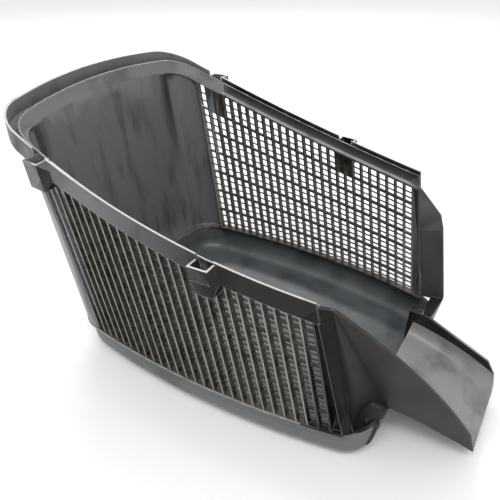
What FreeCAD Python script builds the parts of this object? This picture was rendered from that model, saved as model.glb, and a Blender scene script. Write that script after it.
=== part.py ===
"""Lower half of a mower grass box: one injection moulding in black polypropylene.

Millimetres, +Z up, +X towards the open mouth, -Y the side with the deep cheek.
"""
import FreeCAD
import Part
import math
import os

V = FreeCAD.Vector

# Grille in each side wall: upright ribs outside, stout cross bars, open cells between them.
column_pitch = 11.0
column_count = 26
band_count = 7
cross_bar_width = 3.0
rib_width = 1.8
upright_lean = 0.18
cell_head = 1.5
grille_root = 1.2
strip_gap = 0.4
web_set = 0.5
ledge_lap = 1.4

# Pan: the smooth closed bottom of the tub.
pan_height = 38.0
pan_wall = 2.8
pan_side_set = 5.5
pan_back_set = 3.0
pan_edge_radius = 18.0
pan_front_x = 175.0
pan_front_radius = 30.0
shelf_thickness = 3.0
shelf_lip = 1.0

# Plan of the tub at the top of the pan, measured on the inner face of the grille.
rear_corner_x = -170.0
rear_half_width = 118.8
middle_half_width = 132.6
nose_x = 190.0
nose_half_width = 106.0
back_x = -184.0
corner_radius = 34.0

# How the walls lean as they rise.
rear_corner_lean = 0.144
back_lean = 0.155
rear_draft = 0.0366
middle_draft = 0.0361
nose_draft = 0.079
mouth_x = 154.0
mouth_lean = 0.205

# Wall build-up, outwards from the inner face of the grille.
grille_wall = 2.6
rib_face = 6.8
plain_wall_inner = 4.0
corner_face = 7.2
ledge_side = 5.5
ledge_back = 6.9
lip_thickness = 1.7
groove_side = 8.8
groove_back = 20.6
skirt_thickness = 2.0

# Rim line in side view (three points of one long arc) and the heights below it.
rim_back_x = -245.0
rim_back_z = 287.4
rim_middle_z = 210.6
rim_front_x = 125.0
rim_front_z = 190.9
lip_drop = 4.0
ledge_drop = 15.0
ledge_thickness = 2.5
skirt_drop = 20.0
shell_drop = 16.0
rim_rear_rise = 215.0
rim_middle_rise = 164.0
rim_nose_rise = 138.0
rim_tail_rise = 234.0

# Clip pockets on the rim: each replaces the top cells of two columns.
pocket_columns = (1, 17)
pocket_span = 2
pocket_width = 20.0
pocket_reach = 12.0
pocket_depth = 26.0
pocket_wall = 2.0
pocket_top_drop = 3.0

# Post, front wall and cheek on the near side of the mouth.
plate = 2.6
post_foot = V(154.0, -122.0, 37.0)
post_head = V(120.5, -134.0, 186.0)
post_depth = V(-1.7, 1.95, 0)
crease_foot = V(163.0, -114.0, 37.0)
cheek_head = V(132.4, -126.0, 183.0)
cheek_heel = V(179.0, -77.6, 51.0)
front_wall_toe = V(176.5, -88.0, 35.0)
cheek_tip = V(262.0, -57.0, 16.0)
cheek_crown = (196.2, 128.4)
cheek_shoulder = (256.0, 43.0)

# Chute: sloping floor, low far wall with a thick root.
floor_root = (165.0, 51.0)
floor_middle = (211.0, 39.5)
floor_lip = (262.0, 15.0)
far_wall_y = 34.0
far_wall_root_x = 161.0
far_wall_height = 78.0
far_wall_bend = (184.0, 76.0)
far_wall_end = (249.0, 48.0)
far_wall_nose = (258.5, 33.0)
pillar_length = 13.0
pillar_width = 9.0
root_drop = 14.0
chute_lap = 3.0
chute_near_y = -84.0

# Sill across the rest of the mouth and the flange on the far side of it.
sill_inner_x = 166.0
sill_outer_x = 180.0
sill_top = 39.0
sill_start_y = -96.0
sill_end_y = 124.0
flange_foot = (152.0, 120.0)
flange_splay = 0.14
flange_draft = 0.09
flange_head = (128.0, 173.0)
flange_bend = (155.0, 146.0)
flange_shoulder = (161.0, 129.0)
flange_foot_lap = 4.0
flange_head_lap = 7.0
flange_head_rise = 2.0
flange_toe = 6.0

loft_top = 330.0
far_out = 200.0


def outline(z, side, back):
    """Closed plan outline at height z, grown outwards by side and back."""
    rise = z - pan_height
    rear_x = rear_corner_x - rear_corner_lean * rise - back
    rear = V(rear_x, rear_half_width + rear_draft * rise + side, z)
    middle = V(-upright_lean * rise, middle_half_width + middle_draft * rise + side, z)
    nose = V(nose_x - upright_lean * rise, nose_half_width + nose_draft * rise + side, z)
    tail = V(back_x - back_lean * rise - back, 0, z)
    rear_near = V(rear.x, -rear.y, z)
    middle_near = V(middle.x, -middle.y, z)
    nose_near = V(nose.x, -nose.y, z)
    return Part.Wire([
        Part.Arc(rear, middle, nose).toShape(),
        Part.makeLine(nose, nose_near),
        Part.Arc(nose_near, middle_near, rear_near).toShape(),
        Part.Arc(rear_near, tail, rear).toShape(),
    ])


def plan_block(side, back, low, high, level):
    """Upright block with the tub's plan at one level, both rear corners rounded."""
    wire = outline(level, side, back)
    wire.translate(V(0, 0, low - level))
    block = Part.Face(wire).extrude(V(0, 0, high - low))
    return block.makeFillet(corner_radius + side, upright_edges(block, rear_corner_x + corner_radius))


def tub(side, back, bottom=pan_height, top=loft_top):
    """Leaning block of the tub between two rounded outlines."""
    ends = []
    for z in (bottom, top):
        slice_block = plan_block(side, back, z, z + 5.0, z)
        foot = min(slice_block.Faces, key=lambda f: f.CenterOfMass.z)
        ends.append(foot.OuterWire)
    return Part.makeLoft(ends, True, True)


def upright_edges(block, limit_x):
    """Edges that rise from bottom to top behind limit_x."""
    found = []
    for edge in block.Edges:
        ends = [v.Point for v in edge.Vertexes]
        rises = abs(ends[0].z - ends[-1].z) > 1.0
        if rises and max(p.x for p in ends) < limit_x:
            found.append(edge)
    return found


rim_circle = Part.Circle(
    V(rim_back_x, 0, rim_back_z),
    V(0, 0, rim_middle_z),
    V(rim_front_x, 0, rim_front_z),
)


def rim_height(x):
    """Height of the rim above plan position x."""
    across = x - rim_circle.Center.x
    return rim_circle.Center.z - math.sqrt(rim_circle.Radius ** 2 - across ** 2)


def above_rim(drop):
    """Everything above the rim line lowered by drop."""
    left = rim_back_x - 60.0
    right = nose_x + 20.0
    lid = loft_top + 60.0
    a = V(left, -far_out, rim_height(left) - drop)
    b = V(0, -far_out, rim_height(0) - drop)
    c = V(right, -far_out, rim_height(right) - drop)
    d = V(right, -far_out, lid)
    e = V(left, -far_out, lid)
    wire = Part.Wire([
        Part.Arc(a, b, c).toShape(),
        Part.makeLine(c, d),
        Part.makeLine(d, e),
        Part.makeLine(e, a),
    ])
    return Part.Face(wire).extrude(V(0, 2 * far_out, 0))


def prism(points):
    """Slab across the whole width with a straight-sided outline in side view."""
    corners = [V(x, -far_out, z) for x, z in points]
    return Part.Face(Part.makePolygon(corners + corners[:1])).extrude(V(0, 2 * far_out, 0))


def upright_x(index, z):
    """Centre line of upright number index, counted from the middle of the grille."""
    return column_pitch * index - upright_lean * (z - pan_height)


def upright_top(index):
    """Height at which an upright runs into the ledge below the rim."""
    z = rim_middle_z
    for _ in range(6):
        z = rim_height(upright_x(index, z)) - ledge_drop - ledge_thickness - cell_head
    return z


def half_width(x, z):
    """Inner half width of the tub at plan position x and height z."""
    rise = z - pan_height
    arc = Part.Circle(
        V(rear_corner_x - rear_corner_lean * rise, rear_half_width + rear_draft * rise, 0),
        V(-upright_lean * rise, middle_half_width + middle_draft * rise, 0),
        V(nose_x - upright_lean * rise, nose_half_width + nose_draft * rise, 0),
    )
    return arc.Center.y + math.sqrt(arc.Radius ** 2 - (x - arc.Center.x) ** 2)


def grille_point(index, z, out=0.0):
    """Point on upright number index at height z, set outwards from the inner face."""
    x = upright_x(index, z)
    return V(x, half_width(x, z) + out, z)


def rib(index):
    """Upright rib that runs the full depth of the grille from shelf to ledge."""
    low = pan_height - grille_root
    high = upright_top(index) + cell_head + grille_root
    corners = [
        grille_point(index, low),
        grille_point(index, high),
        grille_point(index, high, rib_face),
        grille_point(index, low, rib_face),
    ]
    face = Part.Face(Part.makePolygon(corners + corners[:1]))
    face.translate(V(-rib_width / 2, 0, 0))
    return face.extrude(V(rib_width, 0, 0))


def web(column, low_share, low_pad, high_share, high_pad):
    """Flat web between two neighbouring ribs, set a little back from their inner edges."""
    corners = []
    for index, lap in ((column - column_count / 2, strip_gap), (column + 1 - column_count / 2, -strip_gap)):
        span = upright_top(index) - pan_height
        for share, pad in ((low_share, low_pad), (high_share, high_pad)):
            point = grille_point(index, pan_height + span * share + pad, web_set)
            corners.append(point + V(lap, 0, 0))
    a, b, d, c = corners
    normal = (b - a).cross(d - a)
    c.y = a.y - (normal.x * (c.x - a.x) + normal.z * (c.z - a.z)) / normal.y
    return Part.Face(Part.makePolygon([a, b, c, d, a])).extrude(V(0, grille_wall, 0))


def grille():
    """One side of the grille: ribs joined by cross bars, with blank webs where a pocket sits."""
    half_bar = cross_bar_width / 2
    ends = cell_head + grille_root
    blanks = [first + step for first in pocket_columns for step in range(pocket_span)]
    pieces = []
    for column in range(column_count + 1):
        pieces.append(rib(column - column_count / 2))
        if column == column_count:
            pieces.append(web(column, 0.0, -grille_root, 1.0, ends))
            continue
        for band in range(1, band_count):
            share = band / band_count
            if band == band_count - 1 and column in blanks:
                pieces.append(web(column, share, -half_bar, 1.0, ends))
            else:
                pieces.append(web(column, share, -half_bar, share, half_bar))
    return rib(column_count / 2 + 1).multiFuse(pieces)


def behind_grille():
    """Region from the rear end of the grille backwards."""
    index = -column_count / 2
    return prism([
        (upright_x(index, 0.0), 0.0),
        (upright_x(index, loft_top), loft_top),
        (rim_back_x - 100, loft_top),
        (rim_back_x - 100, 0.0),
    ])


def ahead_of_mouth():
    """Everything in front of the leaning mouth plane."""
    top = loft_top + 60.0
    return prism([
        (mouth_x + mouth_lean * pan_height, 0.0),
        (mouth_x - mouth_lean * (top - pan_height), top),
        (nose_x + 150, top),
        (nose_x + 150, 0.0),
    ])


def rear_wall():
    """Back wall and rear corners up to the ledge."""
    block = tub(corner_face, corner_face, pan_height - grille_root)
    block = block.cut(tub(plain_wall_inner, plain_wall_inner, pan_height - 5.0))
    return block.common(behind_grille()).cut(above_rim(shell_drop))


def rim_block(side, back):
    """Upright block with the plan of the rim, grown outwards by side and back."""
    def station(x, half, x_lean, draft, rise):
        return x - x_lean * rise, half + draft * rise + side

    rear_x, rear_y = station(rear_corner_x, rear_half_width, rear_corner_lean, rear_draft, rim_rear_rise)
    middle_x, middle_y = station(0.0, middle_half_width, upright_lean, middle_draft, rim_middle_rise)
    nose_end, nose_y = station(nose_x, nose_half_width, upright_lean, nose_draft, rim_nose_rise)
    rear_x -= back
    tail_x = back_x - back_lean * rim_tail_rise - back
    foot = rim_front_z - 60.0
    wire = Part.Wire([
        Part.Arc(V(rear_x, rear_y, foot), V(middle_x, middle_y, foot), V(nose_end, nose_y, foot)).toShape(),
        Part.makeLine(V(nose_end, nose_y, foot), V(nose_end, -nose_y, foot)),
        Part.Arc(V(nose_end, -nose_y, foot), V(middle_x, -middle_y, foot), V(rear_x, -rear_y, foot)).toShape(),
        Part.Arc(V(rear_x, -rear_y, foot), V(tail_x, 0, foot), V(rear_x, rear_y, foot)).toShape(),
    ])
    block = Part.Face(wire).extrude(V(0, 0, loft_top - foot))
    return block.makeFillet(corner_radius + side, upright_edges(block, rear_corner_x + corner_radius))


def rim():
    """Ledge, upright lip, groove and hanging skirt along the top of the walls."""
    collar = rim_block(groove_side + skirt_thickness, groove_back + skirt_thickness)
    collar = collar.cut(rim_block(-ledge_lap, plain_wall_inner))
    collar = collar.common(above_rim(skirt_drop)).cut(above_rim(0.0))
    channel = rim_block(groove_side, groove_back)
    collar = collar.cut(channel.cut(above_rim(ledge_drop + ledge_thickness)))
    collar = collar.cut(channel.common(above_rim(lip_drop)))
    above_ledge = above_rim(ledge_drop)
    lip_outer = rim_block(ledge_side + lip_thickness, ledge_back + lip_thickness)
    collar = collar.cut(channel.cut(lip_outer).common(above_ledge))
    return collar.cut(rim_block(ledge_side, ledge_back).common(above_ledge))


def pan():
    """Closed bottom with a rounded lower edge, a front wall and the shelf under the grille."""
    def block(inset, floor):
        solid = plan_block(pan_side_set - inset, pan_back_set - inset, floor, pan_height, pan_height / 2)
        solid = solid.cut(Part.makeBox(200, 2 * far_out, 200, V(pan_front_x - inset, -far_out, -50)))
        front_edges = [e for e in upright_edges(solid, nose_x) if e.BoundBox.XMin > 0]
        solid = solid.makeFillet(pan_front_radius - inset, front_edges)
        foot_edges = [e for e in solid.Edges if max(v.Point.z for v in e.Vertexes) < floor + 0.1]
        return solid.makeFillet(pan_edge_radius - inset, foot_edges)

    shelf_low = pan_height - shelf_thickness
    shelf_out = rib_face + shelf_lip
    shelf = plan_block(shelf_out, shelf_out, shelf_low, pan_height, pan_height)
    shelf = shelf.cut(plan_block(-ledge_lap, 0.0, 0.0, 2 * pan_height, pan_height))
    tub_pan = block(0.0, 0.0).cut(block(pan_wall, pan_wall))
    return tub_pan.fuse(shelf.cut(ahead_of_mouth()))


def post():
    """Slanted face between the grille's front edge and the crease of the front wall."""
    def section(a, b):
        corners = [a, b, b + post_depth, a + post_depth]
        return Part.makePolygon(corners + corners[:1])

    return Part.makeLoft([section(post_foot, crease_foot), section(post_head, cheek_head)], True, True)


def cheek_normal():
    """Direction out of the cheek's outer face."""
    normal = (cheek_tip - cheek_heel).cross(cheek_head - cheek_heel)
    normal.normalize()
    return normal if normal.y < 0 else normal * -1


def cheek_side():
    """Everything outside the cheek's outer face."""
    n = cheek_normal()
    along = (cheek_tip - cheek_heel).normalize()
    up = n.cross(along)
    corners = [cheek_tip + along * (i * 400) + up * (j * 400) for i, j in ((-1, -1), (1, -1), (1, 1), (-1, 1))]
    return Part.Face(Part.makePolygon(corners + corners[:1])).extrude(n * 200)


def side_face(edges):
    """Slab across the whole width from the edges of its side view."""
    return Part.Face(Part.Wire(edges)).extrude(V(0, 2 * far_out, 0))


def at(point, drop=0.0):
    """Side-view point on the near side of everything, lowered by drop."""
    return V(point[0], -far_out, point[1] - drop)


def floor_slab():
    """Chute floor: a band that bends down towards its front lip."""
    top = Part.Arc(at(floor_root), at(floor_middle), at(floor_lip)).toShape()
    low = Part.Arc(at(floor_lip, plate), at(floor_middle, plate), at(floor_root, plate)).toShape()
    return side_face([
        top,
        Part.makeLine(at(floor_lip), at(floor_lip, plate)),
        low,
        Part.makeLine(at(floor_root, plate), at(floor_root)),
    ])


def cheek():
    """Deep flat side of the chute that sweeps up to the rim."""
    head = V(cheek_head.x, -far_out, cheek_head.z)
    heel = V(cheek_heel.x, -far_out, cheek_heel.z - plate)
    tip = V(cheek_tip.x, -far_out, cheek_tip.z - plate)
    middle = at(floor_middle, plate)
    outline_prism = side_face([
        Part.Arc(head, at(cheek_crown), at(cheek_shoulder)).toShape(),
        Part.makeLine(at(cheek_shoulder), V(cheek_tip.x, -far_out, cheek_tip.z)),
        Part.makeLine(V(cheek_tip.x, -far_out, cheek_tip.z), tip),
        Part.Arc(tip, middle, heel).toShape(),
        Part.makeLine(heel, head),
    ])
    outside = cheek_side()
    inside = outside.copy()
    inside.translate(cheek_normal() * -plate)
    return outline_prism.common(inside).cut(outside)


def chute():
    """Floor, far wall with its thick root, and cheek of the chute."""
    far_face = far_wall_y + plate
    keep = Part.makeBox(3 * far_out, far_face + far_out, 2 * far_out, V(-far_out, -far_out, 0))
    floor = floor_slab().common(keep).cut(cheek_side())
    root = V(far_wall_root_x, far_wall_y, floor_root[1] - root_drop)
    wall_points = [
        V(far_wall_root_x, far_wall_y, far_wall_height),
        V(far_wall_bend[0], far_wall_y, far_wall_bend[1]),
        V(far_wall_end[0], far_wall_y, far_wall_end[1]),
        V(far_wall_nose[0], far_wall_y, far_wall_nose[1]),
        V(floor_lip[0], far_wall_y, floor_lip[1]),
        V(floor_lip[0], far_wall_y, floor_lip[1] - plate),
        V(floor_middle[0], far_wall_y, floor_middle[1] - plate),
        V(floor_root[0], far_wall_y, floor_root[1] - plate),
        root,
    ]
    far_wall = Part.Face(Part.makePolygon(wall_points + wall_points[:1])).extrude(V(0, plate, 0))
    pillar_base = sill_top - chute_lap
    pillar = Part.makeBox(
        pillar_length, pillar_width, far_wall_height - pillar_base,
        V(far_wall_root_x, far_wall_y, pillar_base))
    root_web = Part.makeBox(
        chute_lap, far_face - chute_near_y, floor_root[1] - pillar_base,
        V(floor_root[0], chute_near_y, pillar_base))
    return [floor, far_wall, pillar, root_web, cheek()]


def front_wall():
    """Flat wall between the crease of the post and the heel of the cheek."""
    points = [cheek_head, crease_foot, front_wall_toe, cheek_heel]
    face = Part.Face(Part.makePolygon([cheek_head, crease_foot, cheek_heel, cheek_head]))
    n = face.normalAt(0, 0)
    n = n if n.x > 0 else n * -1
    flat = [p - n * ((p - cheek_head) * n) for p in points]
    return Part.Face(Part.makePolygon(flat + flat[:1])).extrude(n * -plate)


def sill():
    """Flat strip across the foot of the mouth."""
    return Part.makeBox(
        sill_outer_x - sill_inner_x, sill_end_y - sill_start_y, shelf_thickness,
        V(sill_inner_x, sill_start_y, sill_top - shelf_thickness))


def flange():
    """Flat extension of the far side wall ahead of the mouth, with a sloping top corner."""
    def on_flange(x, z):
        y = flange_foot[1] + flange_splay * (x - flange_foot[0]) + flange_draft * (z - pan_height)
        return V(x, y, z)

    base = sill_top - shelf_thickness
    points = [
        on_flange(flange_foot[0] - flange_foot_lap, base),
        on_flange(flange_head[0] - flange_head_lap, flange_head[1] + flange_head_rise),
        on_flange(*flange_head),
        on_flange(*flange_bend),
        on_flange(*flange_shoulder),
        on_flange(sill_outer_x, base + flange_toe),
        on_flange(sill_outer_x, base),
    ]
    return Part.Face(Part.makePolygon(points + points[:1])).extrude(V(0, plate, 0))


def pocket_block(column, margin, low_drop, top_drop):
    """Side-view outline of a clip pocket, leaning with the uprights."""
    middle = column + pocket_span / 2 - column_count / 2
    rim_x = upright_x(middle, upright_top(middle))
    top = rim_height(rim_x) - top_drop
    low = rim_height(rim_x) - low_drop
    half = pocket_width / 2 - margin
    return prism([
        (upright_x(middle, low) - half, low),
        (upright_x(middle, top) - half, top),
        (upright_x(middle, top) + half, top),
        (upright_x(middle, low) + half, low),
    ])


def add_pockets(body):
    """Four open clip pockets outside the rim and the blind recesses behind them."""
    reach = groove_side + skirt_thickness + pocket_reach
    lip_face = rim_block(ledge_side + lip_thickness, ledge_back)
    outer_ring = rim_block(reach, groove_back).cut(lip_face)
    inner_ring = rim_block(reach - pocket_wall, groove_back).cut(lip_face)
    added = []
    removed = []
    for column in pocket_columns:
        low = pocket_top_drop + pocket_depth
        added.append(pocket_block(column, 0.0, low, pocket_top_drop).common(outer_ring))
        removed.append(pocket_block(column, pocket_wall, low - pocket_wall, -20.0).common(inner_ring))
    body = body.multiFuse(added)
    return body.cut(Part.makeCompound(removed))


def grass_box():
    """The whole moulding as one solid."""
    far_grille = grille()
    near_grille = far_grille.mirror(V(0, 0, 0), V(0, 1, 0))
    body = rim().multiFuse([rear_wall(), far_grille, near_grille])
    body = add_pockets(body)
    body = body.cut(ahead_of_mouth())
    pieces = [pan(), post(), front_wall(), sill(), flange()] + chute()
    return body.multiFuse(pieces)


os.makedirs("parts", exist_ok=True)
shape = grass_box()
shape.exportStep("parts/grass_box.step")
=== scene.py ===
import bpy
import bmesh
import math
from mathutils import Matrix, Vector


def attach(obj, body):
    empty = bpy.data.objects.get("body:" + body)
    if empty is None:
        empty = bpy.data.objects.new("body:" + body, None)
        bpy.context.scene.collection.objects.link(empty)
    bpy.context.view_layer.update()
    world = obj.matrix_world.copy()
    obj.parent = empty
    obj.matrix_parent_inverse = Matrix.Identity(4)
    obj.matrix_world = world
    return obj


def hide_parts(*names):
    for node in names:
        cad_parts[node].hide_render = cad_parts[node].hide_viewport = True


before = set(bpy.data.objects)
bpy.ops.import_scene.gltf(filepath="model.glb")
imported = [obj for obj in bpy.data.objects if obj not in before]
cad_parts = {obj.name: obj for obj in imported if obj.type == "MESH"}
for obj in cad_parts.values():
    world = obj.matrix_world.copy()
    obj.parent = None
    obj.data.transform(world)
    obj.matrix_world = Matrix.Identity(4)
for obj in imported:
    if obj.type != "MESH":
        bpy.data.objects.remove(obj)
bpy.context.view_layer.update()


# Grass box: one injection moulding in black polypropylene, years out of doors.
# The mould gave it a smooth satin skin. Dust, grass and rubbing have greyed the
# skin zone by zone, and some zones carry painted light: painted highlights on the rim lip and along the
# edges, a painted reflection on the near rear corner and painted light on the inside of the back wall. So
# the same plastic has a finish for each zone.
def srgb(code):
    parts = [int(code[i:i + 2], 16) / 255 for i in (1, 3, 5)]
    return tuple(c / 12.92 if c <= 0.04045 else ((c + 0.055) / 1.055) ** 2.4 for c in parts) + (1.0,)


def add(tree, kind, values=(), links=()):
    node = tree.nodes.new(kind)
    for key, value in dict(values).items():
        if hasattr(node, str(key)):
            setattr(node, key, value)
        else:
            node.inputs[key].default_value = value
    for key, source in dict(links).items():
        tree.links.new(source, node.inputs[key])
    return node


# Moulded polypropylene: satin and dark where it is clean, flat and grey where dust lies
# in patches, and pale along the edges: a painted highlight of the glossy rounded edges, which also stands
# for rubbing.
def worn_plastic(name, clean, dusty, edge, patch_mm, share, rough, gloss,
                 stretch=(1, 1, 1), fade=None, round_mm=1.2):
    sheen_and_rub_mm = 1.2
    finish = bpy.data.materials.new(name)
    finish.use_nodes = True
    tree = finish.node_tree
    shader = tree.nodes["Principled BSDF"]
    place = add(tree, "ShaderNodeTexCoord").outputs["Object"]
    pulled = add(tree, "ShaderNodeMapping", {"Scale": stretch}, {"Vector": place})
    patches = add(tree, "ShaderNodeTexNoise", {"Scale": 1000 / patch_mm, "Detail": 4.0, "Roughness": 0.55},
                  {"Vector": pulled.outputs["Vector"]})
    spread = add(tree, "ShaderNodeMapRange", {"From Min": 0.75 - share, "From Max": 1.0 - share},
                 {"Value": patches.outputs["Fac"]})
    amount = spread.outputs["Result"]
    if fade:
        along = add(tree, "ShaderNodeSeparateXYZ", {}, {"Vector": place}).outputs["X"]
        paler = add(tree, "ShaderNodeMapRange", {"From Min": fade[0], "From Max": fade[1]}, {"Value": along})
        amount = add(tree, "ShaderNodeMath", {"operation": "MULTIPLY"},
                     {0: amount, 1: paler.outputs["Result"]}).outputs["Value"]
    skin = add(tree, "ShaderNodeMix", {"data_type": "RGBA"}, {"Factor": amount})
    skin.inputs["A"].default_value = srgb(clean)
    skin.inputs["B"].default_value = srgb(dusty)
    # A rounded normal differs from the true one near an edge, and that is where the pale edge colour goes: a
    # painted edge highlight, and rubbed skin too.
    rounded = add(tree, "ShaderNodeBevel", {"samples": 6, "Radius": sheen_and_rub_mm / 1000})
    true_normal = add(tree, "ShaderNodeNewGeometry")
    agree = add(tree, "ShaderNodeVectorMath", {"operation": "DOT_PRODUCT"},
                {0: rounded.outputs["Normal"], 1: true_normal.outputs["Normal"]})
    sheen_and_rub = add(tree, "ShaderNodeMapRange", {"From Min": 0.985, "From Max": 0.8},
                 {"Value": agree.outputs["Value"]})
    colour = add(tree, "ShaderNodeMix", {"data_type": "RGBA"},
                 {"Factor": sheen_and_rub.outputs["Result"], "A": skin.outputs["Result"]})
    colour.inputs["B"].default_value = srgb(edge)
    tree.links.new(colour.outputs["Result"], shader.inputs["Base Color"])
    eased = add(tree, "ShaderNodeBevel", {"samples": 8, "Radius": round_mm / 1000})
    tree.links.new(eased.outputs["Normal"], shader.inputs["Normal"])
    shader.inputs["Roughness"].default_value = rough
    shader.inputs["Specular IOR Level"].default_value = gloss
    return finish


zones = {
    "satin": worn_plastic("satin_black_pp", "#141414", "#222220", "#6a6a68",
                          patch_mm=25, share=0.35, rough=0.35, gloss=0.4),
    # Skirt: dark at the front, turning paler grey in patches towards the rear.
    "skirt": worn_plastic("skirt_pp", "#151412", "#6a6b6b", "#a4a4a2",
                          patch_mm=30, share=0.55, rough=0.38, gloss=0.25, fade=(0.04, -0.1)),
    # Near rear corner: painted pale grey, a painted reflection of the bright surroundings on the glossy
    # black plastic at a grazing angle.
    "corner": worn_plastic("corner_painted_reflection_pp", "#4a4a4a", "#8e8e8c", "#b0b0ae",
                           patch_mm=12, share=0.5, rough=0.45, gloss=0.5, stretch=(1, 1, 0.1)),
    "collar": worn_plastic("collar_pp", "#525254", "#6d6d6f", "#b0b0b0",
                           patch_mm=40, share=0.45, rough=0.4, gloss=0.5),
    # Outside and underside of the pan: a paler grey than the walls above.
    "pan": worn_plastic("pale_grey_pan_pp", "#3e3f40", "#626363", "#808080",
                        patch_mm=60, share=0.5, rough=0.42, gloss=0.5),
    # Inside of the back wall: painted lighter grey for the light that falls on it, which is painted light,
    # with vertical streaks of scuffs.
    "back": worn_plastic("back_lit_and_scuffed_pp", "#424447", "#626365", "#9a9a9a",
                         patch_mm=14, share=0.5, rough=0.4, gloss=0.5, stretch=(1, 1, 0.15)),
    "floor": worn_plastic("pan_floor_pp", "#404447", "#5d6163", "#a8aaaa",
                          patch_mm=50, share=0.45, rough=0.3, gloss=0.5),
    "ledge": worn_plastic("dusty_ledge_pp", "#5a5955", "#96948e", "#c8c8c4",
                          patch_mm=15, share=0.5, rough=0.6, gloss=0.4),
    "grille": worn_plastic("dusty_grille_pp", "#161513", "#46423c", "#5c5852",
                           patch_mm=9, share=0.42, rough=0.5, gloss=0.25),
    "rib": worn_plastic("rubbed_rib_pp", "#58554f", "#8c8984", "#a8a5a0",
                        patch_mm=18, share=0.5, rough=0.5, gloss=0.4),
    # Rim lip: painted pale grey, a painted highlight along the glossy top of the rim.
    "lip": worn_plastic("lip_painted_highlight_pp", "#7c7c7a", "#bcbcba", "#dcdcda",
                        patch_mm=20, share=0.5, rough=0.35, gloss=0.5),
    "chute": worn_plastic("rubbed_chute_pp", "#606061", "#868687", "#9a9a9a",
                          patch_mm=35, share=0.5, rough=0.28, gloss=0.5, round_mm=0.4),
    "cheek": worn_plastic("dull_cheek_pp", "#1a1917", "#302e2b", "#6c6a66",
                          patch_mm=70, share=0.45, rough=0.45, gloss=0.25, round_mm=3),
    "post": worn_plastic("dark_post_pp", "#0c0c0c", "#1a1917", "#8a8a88",
                         patch_mm=40, share=0.4, rough=0.4, gloss=0.12),
    "flange": worn_plastic("dull_flange_pp", "#303032", "#464647", "#8a8a8a",
                           patch_mm=60, share=0.45, rough=0.42, gloss=0.4),
}

# The shell shown is a merged copy of the solid, open where the front wall is curved on the real box.
head = Vector((0.1324, -0.126, 0.183))
crease_foot = Vector((0.163, -0.114, 0.037))
heel = Vector((0.179, -0.0776, 0.051))
wall = 0.0026
flatness = 2e-4
front_x = 0.13
foot_edge_low = Vector((0.155, -0.12, 0.04))
foot_edge_high = Vector((0.182, -0.072, 0.06))
across = (crease_foot - head).cross(heel - head).normalized()


def in_flat_wall(face):
    depths = [abs((vert.co - head).dot(across)) for vert in face.verts]
    spot = face.calc_center_median()
    on_skin = max(depths) < flatness or max(abs(depth - wall) for depth in depths) < flatness
    if on_skin and abs(face.normal.dot(across)) > 0.99 and spot.x > front_x:
        return True
    by_foot = all(low < at < high for low, at, high in zip(foot_edge_low, spot, foot_edge_high))
    return by_foot and max(depths) < wall + flatness


form = bmesh.new()
form.from_mesh(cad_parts["grass_box"].data)
bmesh.ops.remove_doubles(form, verts=form.verts, dist=1e-6)
form.normal_update()
bmesh.ops.delete(form, geom=[face for face in form.faces if in_flat_wall(face)], context="FACES")
shell_mesh = bpy.data.meshes.new("moulded_shell")
form.to_mesh(shell_mesh)
form.free()
order = {}
for index, (zone, finish) in enumerate(zones.items()):
    shell_mesh.materials.append(finish)
    order[zone] = index


def circle_of(a, b, c):
    (ax, ay), (bx, by), (cx, cy) = a, b, c
    turn = 2 * (ax * (by - cy) + bx * (cy - ay) + cx * (ay - by))
    aa, bb, cc = ax * ax + ay * ay, bx * bx + by * by, cx * cx + cy * cy
    x = (aa * (by - cy) + bb * (cy - ay) + cc * (ay - by)) / turn
    y = (aa * (cx - bx) + bb * (ax - cx) + cc * (bx - ax)) / turn
    return x, y, math.hypot(ax - x, ay - y)


# The rim is an arc seen from the side. Each side wall is an arc seen from above, which moves
# and widens with the height above the pan.
rim_x, rim_z, rim_radius = circle_of((-0.245, 0.2874), (0.0, 0.2106), (0.125, 0.1909))
pitch = 0.011
lean = 0.18
pan_top = 0.038
side_plan = ((-0.17, 0.1188), (0.0, 0.1326), (0.19, 0.106))
side_flare = ((-0.144, 0.0366), (-lean, 0.0361), (-lean, 0.079))


def rim_height(x):
    return rim_z - math.sqrt(rim_radius ** 2 - (x - rim_x) ** 2)


def half_width(x, z):
    rise = z - pan_top
    mid_x, mid_y, radius = circle_of(*((px + fx * rise, py + fy * rise)
                                       for (px, py), (fx, fy) in zip(side_plan, side_flare)))
    return mid_y + math.sqrt(max(0.0, radius ** 2 - (x - mid_x) ** 2))


half_length, half_breadth = 0.18, 0.12
sill_x, nose_x, post_x = 0.163, 0.18, 0.118
crease_x, crease_lean = 0.172, 0.2056
rear_rim_x, back_x = -0.15, -0.148
floor_top = 0.0345
lip_depth, rear_lip_depth, ledge_depth, collar_depth, skirt_depth = 0.0055, 0.0035, 0.018, 0.019, 0.03
skirt_out, rib_out = 0.0075, 0.006


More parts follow.
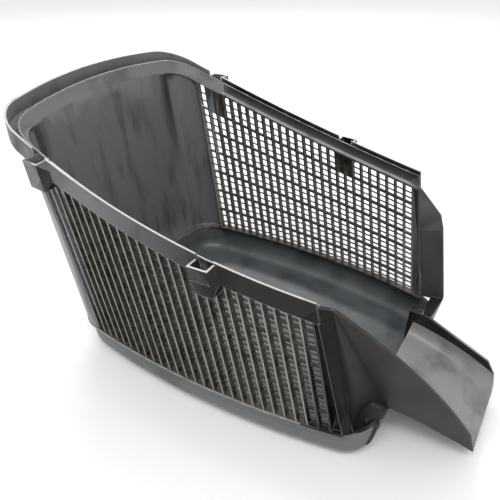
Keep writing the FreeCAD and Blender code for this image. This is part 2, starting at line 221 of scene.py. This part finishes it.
def zone_of(c, n):
    outwards = n.x * c.x / half_length ** 2 + n.y * c.y / half_breadth ** 2 > 0
    below_rim = rim_height(min(c.x, front_x)) - c.z
    beyond_post = c.x > post_x and below_rim > 2e-3
    rear_rim = c.x < rear_rim_x and below_rim < collar_depth
    if c.x > sill_x and n.z > 0.7 and -0.08 < c.y < 0.04 and c.z < 0.06:
        return "chute"
    if c.x > nose_x:
        return "cheek" if c.y < 0 else "satin"
    if c.z < floor_top:
        return "pan" if n.z < -0.5 or (outwards and n.z < 0.5) else "floor"
    if beyond_post and c.y > 0.1:
        return "flange"
    if beyond_post and c.y < -0.05:
        return "post" if n.x > -0.3 and c.x + crease_lean * c.z < crease_x else "cheek"
    if rear_rim and n.z <= 0.7:
        return "skirt" if outwards and abs(n.z) < 0.5 else "collar"
    if rear_rim:
        return "lip" if below_rim < rear_lip_depth else "collar"
    if c.x < front_x and n.z > 0.7 and below_rim < lip_depth:
        return "lip"
    if c.x < front_x and n.z > 0.6 and below_rim < ledge_depth:
        return "ledge"
    if below_rim < skirt_depth and outwards and abs(c.y) > half_width(c.x, c.z) + skirt_out:
        return "skirt"
    if c.x < back_x and not outwards:
        return "back"
    if c.x < back_x:
        return "corner" if n.y < -0.45 else "satin"
    if below_rim > ledge_depth and abs(c.y) > 0.1:
        return "rib" if outwards and abs(c.y) > half_width(c.x, c.z) + rib_out else "grille"
    return "satin"


crisp = math.radians(28)
for face in shell_mesh.polygons:
    face.material_index = order[zone_of(face.center, face.normal)]
    face.use_smooth = True
shell_mesh.set_sharp_from_angle(angle=crisp)
# The chute floor is long thin triangles, which shade evenly only when each keeps its own normal.
for face in shell_mesh.polygons:
    if face.material_index == order["chute"]:
        for corner in face.loop_indices:
            shell_mesh.edges[shell_mesh.loops[corner].edge_index].use_edge_sharp = True
box = bpy.data.objects.new("moulded_shell", shell_mesh)
bpy.context.collection.objects.link(box)
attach(box, "root")
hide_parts("grass_box")

# Thin bars: fine cross bars of the same moulding, two between each pair of stout bars.
# They sit inside the depth of the grille, from its first upright to its last.
uprights = 13
row_count = 21
rows = [row for row in range(1, row_count) if row % 3]
bar_depth = 0.002
bar_height = 0.0010
bar_out = 0.0018
band_height = 0.019


def upright_x(index, z):
    return pitch * index - lean * (z - pan_top)


def bar_spot(index, row, side):
    top = 0.19
    for _ in range(6):
        top = rim_height(upright_x(index, top)) - band_height
    z = pan_top + (top - pan_top) * row / row_count
    x = upright_x(index, z)
    return Vector((x, side * (half_width(x, z) + bar_out), z))


def moulded(form, name, finish):
    bmesh.ops.recalc_face_normals(form, faces=form.faces)
    mesh = bpy.data.meshes.new(name)
    form.to_mesh(mesh)
    form.free()
    mesh.materials.append(finish)
    piece = bpy.data.objects.new(name, mesh)
    bpy.context.collection.objects.link(piece)
    return piece


form = bmesh.new()
for side in (1, -1):
    for row in rows:
        spots = [bar_spot(index, row, side) for index in range(-uprights, uprights + 1)]
        stand = Matrix(((0, 0, 1, spots[0].x),
                        (bar_depth, 0, 0, spots[0].y),
                        (0, bar_height, 0, spots[0].z),
                        (0, 0, 0, 1)))
        start = bmesh.ops.create_grid(form, x_segments=1, y_segments=1, size=0.5, matrix=stand)["verts"]
        end = start[0].link_faces[0]
        for here, there in zip(spots, spots[1:]):
            grown = bmesh.ops.extrude_face_region(form, geom=[end])["geom"]
            moved = [part for part in grown if isinstance(part, bmesh.types.BMVert)]
            bmesh.ops.translate(form, vec=there - here, verts=moved)
            end = [part for part in grown if isinstance(part, bmesh.types.BMFace)][0]
thin_bars = moulded(form, "thin_bars", zones["grille"])
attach(thin_bars, "root")

# Chute hollow: the moulded curve that joins the chute floor to its far wall.
# It is part of the same moulding and has the floor's rubbed grey skin.
hollow_radius = 0.014
wall_y = 0.034
sink = 0.001
overrun = 0.05
floor_start, floor_middle, floor_end = (0.165, 0.051), (0.211, 0.0395), (0.262, 0.015)
mouth_normal = (0.982, 0, 0.191)
floor_x, floor_z, floor_radius = circle_of(floor_start, floor_middle, floor_end)
first = math.atan2(floor_start[0] - floor_x, floor_start[1] - floor_z)
last = math.atan2(floor_end[0] - floor_x, floor_end[1] - floor_z)


def trim(form, point, normal):
    every = form.verts[:] + form.edges[:] + form.faces[:]
    cut = bmesh.ops.bisect_plane(form, geom=every, plane_co=point, plane_no=normal, clear_outer=True)
    rim = [part for part in cut["geom_cut"] if isinstance(part, bmesh.types.BMEdge)]
    bmesh.ops.edgeloop_fill(form, edges=rim)


form = bmesh.new()
arc_y = wall_y - hollow_radius
arc_top = floor_radius + hollow_radius
arc_start = form.verts.new((0, arc_y, floor_radius))
bmesh.ops.spin(form, geom=[arc_start], cent=(0, arc_y, arc_top), axis=(1, 0, 0), angle=math.pi / 2, steps=10)
arc = form.verts[:]
buried = [form.verts.new((0, wall_y + sink, arc_top)),
          form.verts.new((0, wall_y + sink, floor_radius - sink)),
          form.verts.new((0, arc_y, floor_radius - sink))]
cap = form.faces.new(arc + buried)
start_end = Matrix.Translation((floor_x, 0, floor_z)) @ Matrix.Rotation(first, 4, "Y")
bmesh.ops.transform(form, matrix=start_end, verts=form.verts)
bmesh.ops.spin(form, geom=[cap], cent=(floor_x, 0, floor_z), axis=(0, 1, 0),
               angle=last - first + overrun, steps=28)
trim(form, (floor_end[0], 0, floor_end[1]), mouth_normal)
for face in form.faces:
    face.smooth = True
chute_hollow = moulded(form, "chute_hollow", zones["chute"])
chute_hollow.data.set_sharp_from_angle(angle=crisp)
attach(chute_hollow, "root")

# Front hollow: the curved wall that sweeps from the crease of the post round into the cheek.
# It is part of the same moulding, dull and dark, and narrows to nothing at the head of the cheek.
# Its edges meet the shell, so they get no pale edge colour, the painted edge highlight.
tip = Vector((0.262, -0.057, 0.016))
base_height = 0.008
arc_steps = 20
head_share = 0.02
heel_low = heel - Vector((0, 0, 0.0028))
scoop_top = Vector((0.161, -0.094, 0.046))
crease_low = crease_foot - Vector((0, 0, 0.005))
hollow_skin = worn_plastic("dull_hollow_pp", "#161615", "#2a2927", "#161615",
                           patch_mm=70, share=0.45, rough=0.45, gloss=0.25, round_mm=0.1)


def on_line(start, end, z):
    return start + (end - start) * ((z - start.z) / (end.z - start.z))


cheek_out = (tip - heel).cross(head - heel).normalized()
if cheek_out.y > 0:
    cheek_out.negate()
aside = Vector((cheek_out.x, cheek_out.y, 0)).normalized()
crease = on_line(head, crease_foot, base_height)
tangent = on_line(head, heel, base_height)
chord = crease - tangent
bend_radius = chord.length_squared / (2 * chord.dot(aside))
centre = tangent + aside * bend_radius
bend = math.atan2(*(crease - centre).yx) - math.atan2(*(tangent - centre).yx)
bend = (bend + math.pi) % (2 * math.pi) - math.pi
form = bmesh.new()
ends = [form.verts.new(tangent), form.verts.new(tangent - aside * wall)]
bmesh.ops.spin(form, geom=ends + [form.edges.new(ends)], cent=centre, axis=(0, 0, 1),
               angle=bend, steps=arc_steps)
grown = bmesh.ops.extrude_face_region(form, geom=form.faces[:])["geom"]
upper = [part for part in grown if isinstance(part, bmesh.types.BMVert)]
bmesh.ops.scale(form, vec=(head_share,) * 3, space=Matrix.Translation(-head), verts=upper)
under = (scoop_top - heel_low).cross(crease_low - heel_low).normalized()
if under.z > 0:
    under.negate()
trim(form, heel_low, under)
for face in form.faces:
    face.smooth = True
front_hollow = moulded(form, "front_hollow", hollow_skin)
front_hollow.data.set_sharp_from_angle(angle=crisp)
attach(front_hollow, "root")

# Chute foot: the rounded bulge of the pan under the heel of the cheek.
# It is part of the same moulding and leans outwards from the ground to the chute.
foot_low = Vector((0.153, -0.106, 0.012))
foot_high = Vector((0.1815, -0.066, 0.0505))
foot_lean = 0.006
foot_back = 0.023
foot_depth = 0.021
foot_round = 0.006
middle = (foot_low + foot_high) / 2
outward = across if across.y < 0 else -across
form = bmesh.new()
bmesh.ops.create_cube(form, size=1.0,
                      matrix=Matrix.Translation(middle) @ Matrix.Diagonal((*(foot_high - foot_low), 1.0)))
ground = [vert for vert in form.verts if vert.co.z < middle.z]
near_top = [vert for vert in form.verts if vert.co.z > middle.z and vert.co.y < middle.y]
bmesh.ops.translate(form, vec=(-foot_lean, 0, 0), verts=ground)
bmesh.ops.translate(form, vec=(0, foot_back, 0), verts=near_top)
bmesh.ops.bevel(form, geom=form.edges[:], offset=foot_round, affect="EDGES",
                segments=5, profile=0.5, material=-1)
trim(form, head - outward * foot_depth, -outward)
for face in form.faces:
    face.smooth = True
chute_foot = moulded(form, "chute_foot", hollow_skin)
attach(chute_foot, "root")

# Floor: a plain white board that the box stands on.
# It is matt, so that it takes only the box's soft shadow.
floor_size = 6.0
form = bmesh.new()
bmesh.ops.create_grid(form, x_segments=1, y_segments=1, size=floor_size)
floor_mesh = bpy.data.meshes.new("floor")
form.to_mesh(floor_mesh)
form.free()
floor = bpy.data.objects.new("floor", floor_mesh)
bpy.context.collection.objects.link(floor)
board = bpy.data.materials.new("white_board")
board.use_nodes = True
board_shader = board.node_tree.nodes["Principled BSDF"]
board_shader.inputs["Base Color"].default_value = srgb("#fcfcfb")
board_shader.inputs["Roughness"].default_value = 0.9
board_shader.inputs["Specular IOR Level"].default_value = 0.0
floor_mesh.materials.append(board)

# Studio: even white surroundings, with a broad lamp behind the box and a softer one in front.
# Both lamps are long and narrow and point at the middle of the tub.
lamps = (("rear", (-0.75, 1.1, 1.1), 1.2, 14.0),
         ("front", (0.4, -0.7, 1.6), 1.6, 10.0))
lamp_width = 0.3
lamp_target = Vector((0, 0, 0.1))
world = bpy.data.worlds.new("studio")
world.use_nodes = True
surroundings = world.node_tree.nodes["Background"]
surroundings.inputs["Color"].default_value = srgb("#ffffff")
surroundings.inputs["Strength"].default_value = 0.85
bpy.context.scene.world = world
for name, spot, length, watts in lamps:
    lamp = bpy.data.lights.new(name, "AREA")
    lamp.shape = "RECTANGLE"
    lamp.size = length
    lamp.size_y = lamp_width
    lamp.energy = watts
    holder = bpy.data.objects.new(name, lamp)
    holder.location = spot
    holder.rotation_euler = (lamp_target - Vector(spot)).to_track_quat("-Z", "Y").to_euler()
    bpy.context.collection.objects.link(holder)

# Camera: above the near front corner, looking down into the tub.
# Its place and lens were solved from the regular columns of the grille.
look_down = math.radians(34.317)
look_aside = math.radians(31.308)
lens = bpy.data.cameras.new("camera")
lens.sensor_fit = "HORIZONTAL"
lens.sensor_width = 36.0
lens.lens = 39.545
lens.clip_start = 0.01
camera = bpy.data.objects.new("camera", lens)
camera.location = (0.24895, -0.44185, 0.46566)
camera.rotation_euler = (math.pi / 2 - look_down, 0, look_aside)
bpy.context.collection.objects.link(camera)
bpy.context.scene.camera = camera
bpy.context.scene.view_settings.view_transform = "Standard"
